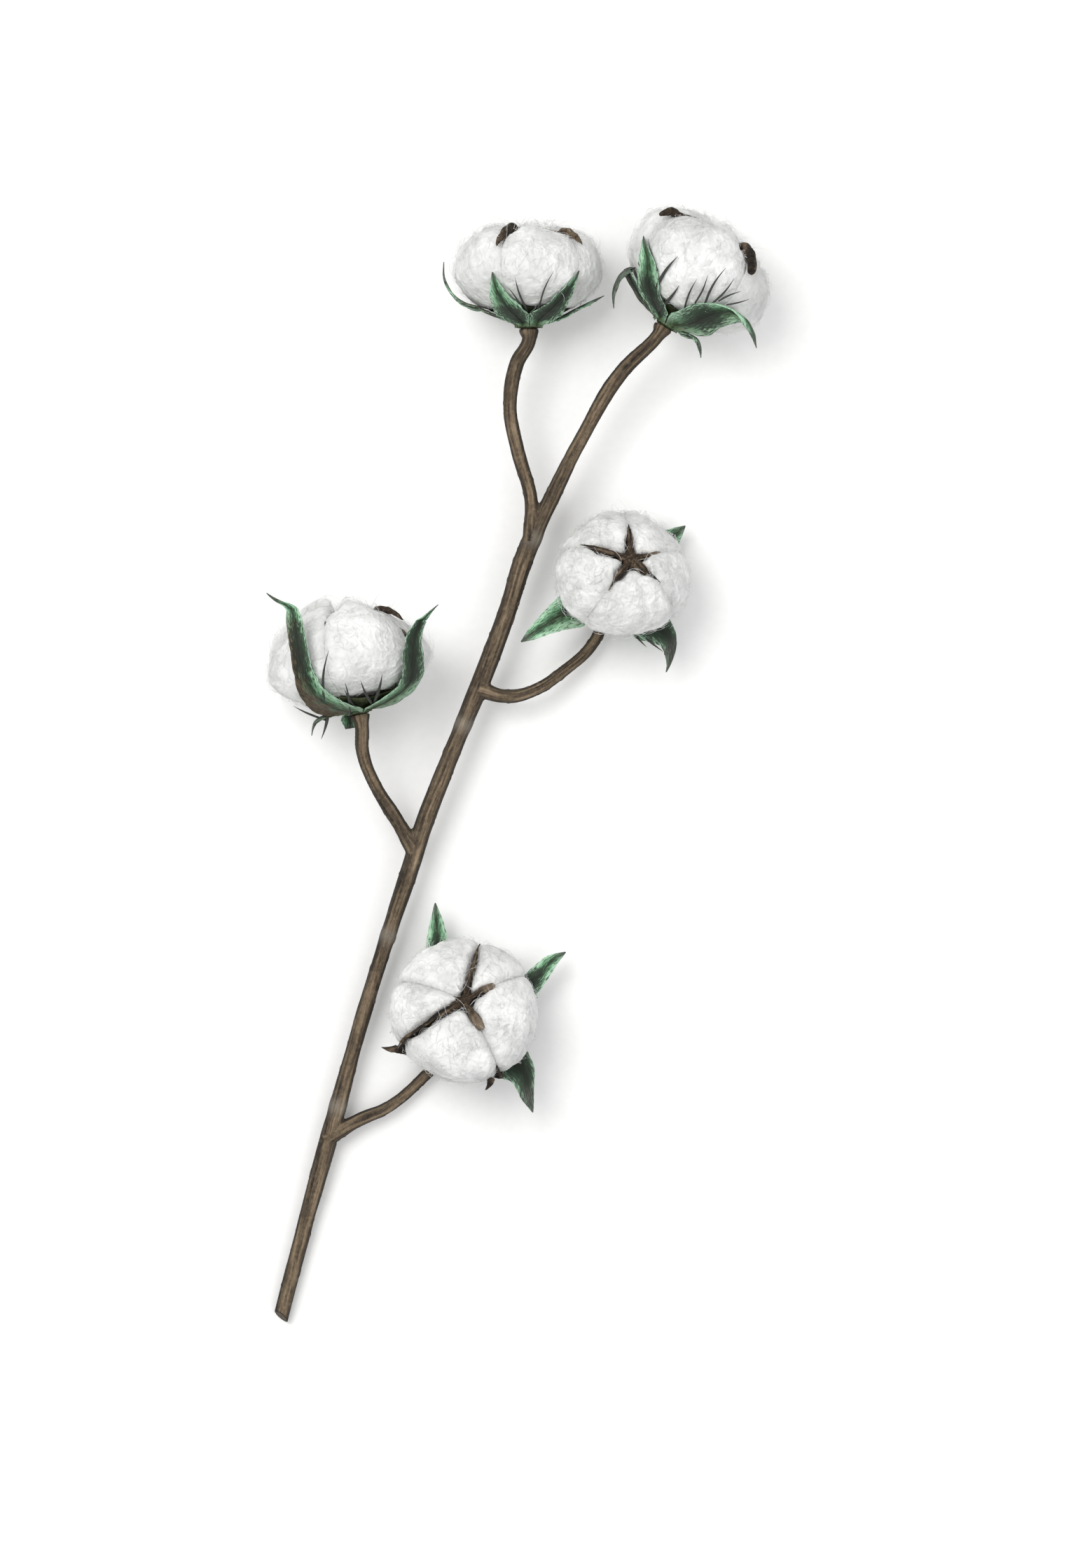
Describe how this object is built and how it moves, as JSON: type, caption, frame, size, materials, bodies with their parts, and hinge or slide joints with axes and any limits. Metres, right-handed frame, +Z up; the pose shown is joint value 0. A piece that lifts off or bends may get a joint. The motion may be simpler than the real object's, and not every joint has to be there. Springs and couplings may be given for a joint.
{
  "type": "cotton stem with open bolls",
  "caption": "Cut woody stem with open cotton bolls on curved side stalks: white lint locks in brown burrs with pointed green bracts, lying flat.",
  "frame": {"origin": "middle of the footprint, on the surface that the stem lies on", "axes": "+Y along the stem from its cut end towards the upper bolls, +Z up from the surface, +X to the right seen from above"},
  "size_m": [0.2018, 0.4465, 0.0629],
  "materials": {
    "cotton_lint": "matt white fibre",
    "burr_brown": "dry fibrous husk",
    "bract_green": "leafy, pale green edge to near-black shade",
    "stem_bark": "thin ridged bark"
  },
  "bodies": {
    "root": {"stem": "stem_bark", "boll_1_burr": "burr_brown", "boll_1_bract_1": "bract_green", "boll_1_bract_2": "bract_green", "boll_1_bract_3": "bract_green", "boll_1_bract_4": "bract_green", "boll_1_lock_1": "cotton_lint", "boll_1_lock_2": "cotton_lint", "boll_1_lock_3": "cotton_lint", "boll_1_lock_4": "cotton_lint", "boll_1_lock_5": "cotton_lint", "boll_2_burr": "burr_brown", "boll_2_bract_1": "bract_green", "boll_2_bract_2": "bract_green", "boll_2_bract_3": "bract_green", "boll_2_bract_4": "bract_green", "boll_2_lock_1": "cotton_lint", "boll_2_lock_2": "cotton_lint", "boll_2_lock_3": "cotton_lint", "boll_2_lock_4": "cotton_lint", "boll_3_burr": "burr_brown", "boll_3_bract_1": "bract_green", "boll_3_bract_2": "bract_green", "boll_3_bract_3": "bract_green", "boll_3_lock_1": "cotton_lint", "boll_3_lock_2": "cotton_lint", "boll_3_lock_3": "cotton_lint", "boll_3_lock_4": "cotton_lint", "boll_3_lock_5": "cotton_lint", "boll_4_burr": "burr_brown", "boll_4_bract_1": "bract_green", "boll_4_bract_2": "bract_green", "boll_4_bract_3": "bract_green", "boll_4_bract_4": "bract_green", "boll_4_lock_1": "cotton_lint", "boll_4_lock_2": "cotton_lint", "boll_4_lock_3": "cotton_lint", "boll_4_lock_4": "cotton_lint", "boll_4_lock_5": "cotton_lint", "boll_5_burr": "burr_brown", "boll_5_bract_1": "bract_green", "boll_5_bract_2": "bract_green", "boll_5_bract_3": "bract_green", "boll_5_lock_1": "cotton_lint", "boll_5_lock_2": "cotton_lint", "boll_5_lock_3": "cotton_lint", "boll_5_lock_4": "cotton_lint", "boll_5_lock_5": "cotton_lint"}
  },
  "joints": []
}
